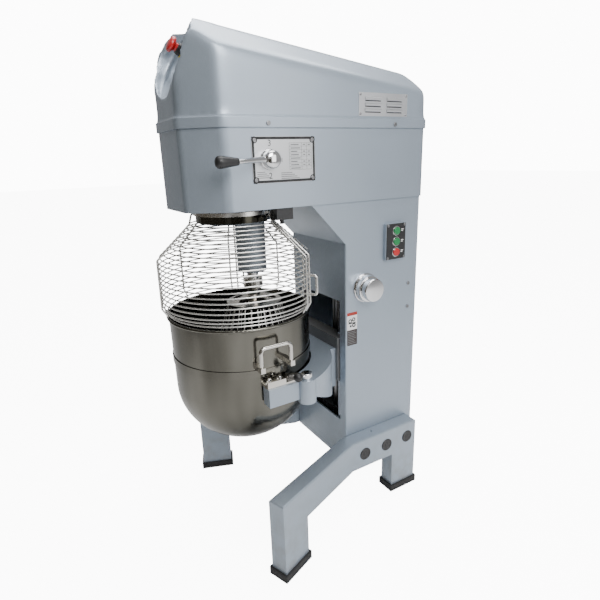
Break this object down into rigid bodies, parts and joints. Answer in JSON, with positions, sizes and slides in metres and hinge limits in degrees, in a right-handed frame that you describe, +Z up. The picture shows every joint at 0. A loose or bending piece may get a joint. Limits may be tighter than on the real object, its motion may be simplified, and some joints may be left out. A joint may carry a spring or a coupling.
{
  "type": "commercial planetary stand mixer",
  "caption": "Floor-standing planetary mixer: box column, cast head with hood, splayed legs, lifting bowl on a yoke, wire whip and swinging wire guard.",
  "frame": {"origin": "middle of the overall size, on the floor", "axes": "+Z up; -Y is the front, where the bowl is; +X is the side with the shift lever and the push buttons"},
  "size_m": [0.7404, 0.8868, 1.591],
  "materials": {
    "silver_paint": "fine metallic satin",
    "black_plastic": "matt",
    "black_rubber": "matt",
    "stainless": "polished",
    "chrome": "bright",
    "wire_steel": "bright wire",
    "dark_steel": "machined",
    "cast_grey": "as cast",
    "motor_paint": "satin",
    "belt_rubber": "matt",
    "red_plastic": "gloss",
    "green_plastic": "gloss",
    "plate_print": "printed"
  },
  "bodies": {
    "base": {"bearing_bridge": "cast_grey", "bearing_plate": "cast_grey", "column_body": "silver_paint", "control_box": "silver_paint", "control_panel": "black_plastic", "cover_screws": "dark_steel", "drive_belt": "belt_rubber", "estop_collar": "black_plastic", "foot_shoes": "black_rubber", "guard_rear": "wire_steel", "guard_switch": "black_plastic", "head_housing": "silver_paint", "hood": "silver_paint", "leg_bolt_caps": "black_plastic", "leg_bolts": "dark_steel", "leg_left": "silver_paint", "leg_right": "silver_paint", "lift_hub": "chrome", "louvre_plates": "silver_paint", "main_bearing": "dark_steel", "motor": "motor_paint", "name_plate": "plate_print", "plate_screws": "dark_steel", "rear_cover": "silver_paint", "ring_gear": "dark_steel", "screw_brackets": "cast_grey", "slide_rails": "chrome", "splash_drum": "stainless"},
    "lift": {"carriage": "cast_grey", "bowl_yoke": "silver_paint", "bowl": "stainless", "bowl_ears": "stainless", "bowl_handles": "stainless"},
    "carrier": {"planet_carrier": "cast_grey", "main_shaft": "dark_steel", "main_gear": "dark_steel"},
    "agitator": {"agitator_shaft": "chrome", "planet_pinion": "dark_steel", "whip_crown": "stainless", "whip_wires": "wire_steel"},
    "input_drive": {"input_shaft": "dark_steel", "input_gear": "dark_steel", "input_pulley": "cast_grey"},
    "motor_rotor": {"motor_rotor": "dark_steel"},
    "guard": {"guard_front": "wire_steel", "guard_handle": "wire_steel"},
    "shift": {"shift_lever": "chrome", "shift_knob": "black_plastic"},
    "estop": {"estop_button": "red_plastic"},
    "selector": {"selector_knob": "black_plastic"},
    "up_button": {"button_up": "green_plastic"},
    "down_button": {"button_down": "green_plastic"},
    "stop_button": {"button_stop": "red_plastic"},
    "clamp_right": {"clamp_lever_right": "chrome", "clamp_knob_right": "black_plastic"},
    "clamp_left": {"clamp_lever_left": "chrome", "clamp_knob_left": "black_plastic"},
    "screw": {"lead_screw": "dark_steel"},
    "cross": {"lift_cross_shaft": "dark_steel"}
  },
  "joints": [
    {"name": "bowl_lift", "type": "slide", "parent": "base", "child": "lift", "axis": [0, 0, 1], "range_m": [-0.15, 0]},
    {"name": "carrier_spin", "type": "hinge", "parent": "base", "child": "carrier", "pos_m": [0, -0.19565, 1.1], "axis": [0, 0, 1], "continuous": true},
    {"name": "agitator_spin", "type": "hinge", "parent": "carrier", "child": "agitator", "pos_m": [-0.0236, -0.13081, 0.9], "axis": [0, 0, 1], "continuous": true},
    {"name": "input_spin", "type": "hinge", "parent": "base", "child": "input_drive", "pos_m": [0, -0.05465, 1.15], "axis": [0, 0, 1], "continuous": true},
    {"name": "motor_spin", "type": "hinge", "parent": "base", "child": "motor_rotor", "pos_m": [0, 0.27435, 1.25], "axis": [0, 0, 1], "continuous": true},
    {"name": "guard_swing", "type": "hinge", "parent": "base", "child": "guard", "pos_m": [0, -0.19565, 1.08], "axis": [0, 0, 1], "range_deg": [-170, 0]},
    {"name": "shift_turn", "type": "hinge", "parent": "base", "child": "shift", "pos_m": [0.174, -0.15065, 1.237], "axis": [1, 0, 0], "range_deg": [-90, 90]},
    {"name": "estop_press", "type": "slide", "parent": "base", "child": "estop", "axis": [0, 0.866, -0.5], "range_m": [0, 0.005]},
    {"name": "selector_turn", "type": "hinge", "parent": "base", "child": "selector", "pos_m": [0.09, -0.30771, 1.52752], "axis": [0, -0.866, 0.5], "range_deg": [-135, 135]},
    {"name": "clamp_right_swing", "type": "hinge", "parent": "lift", "child": "clamp_right", "pos_m": [0.267, -0.10765, 0.61], "axis": [0, 0, 1], "range_deg": [0, 90]},
    {"name": "clamp_left_swing", "type": "hinge", "parent": "lift", "child": "clamp_left", "pos_m": [-0.267, -0.10765, 0.61], "axis": [0, 0, 1], "range_deg": [-90, 0]},
    {"name": "screw_spin", "type": "hinge", "parent": "base", "child": "screw", "pos_m": [0, 0.19135, 0.5], "axis": [0, 0, 1], "range_deg": [-4500, 0]},
    {"name": "cross_spin", "type": "hinge", "parent": "base", "child": "cross", "pos_m": [0.1, 0.19135, 0.816], "axis": [1, 0, 0], "range_deg": [-4500, 0]},
    {"name": "up_press", "type": "slide", "parent": "base", "child": "up_button", "axis": [-1, 0, 0], "range_m": [0, 0.003], "stiffness_N_per_m": 500, "springref_m": -0.002},
    {"name": "down_press", "type": "slide", "parent": "base", "child": "down_button", "axis": [-1, 0, 0], "range_m": [0, 0.003], "stiffness_N_per_m": 500, "springref_m": -0.002},
    {"name": "stop_press", "type": "slide", "parent": "base", "child": "stop_button", "axis": [-1, 0, 0], "range_m": [0, 0.003], "stiffness_N_per_m": 500, "springref_m": -0.002}
  ],
  "couplings": [
    {"joint": "agitator_spin", "follows": "carrier_spin", "ratio": -3.875},
    {"joint": "input_spin", "follows": "carrier_spin", "ratio": -2.1333},
    {"joint": "motor_spin", "follows": "carrier_spin", "ratio": -4.7407},
    {"joint": "screw_spin", "follows": "bowl_lift", "rad_per_m": 523.6},
    {"joint": "cross_spin", "follows": "bowl_lift", "rad_per_m": 523.6}
  ]
}
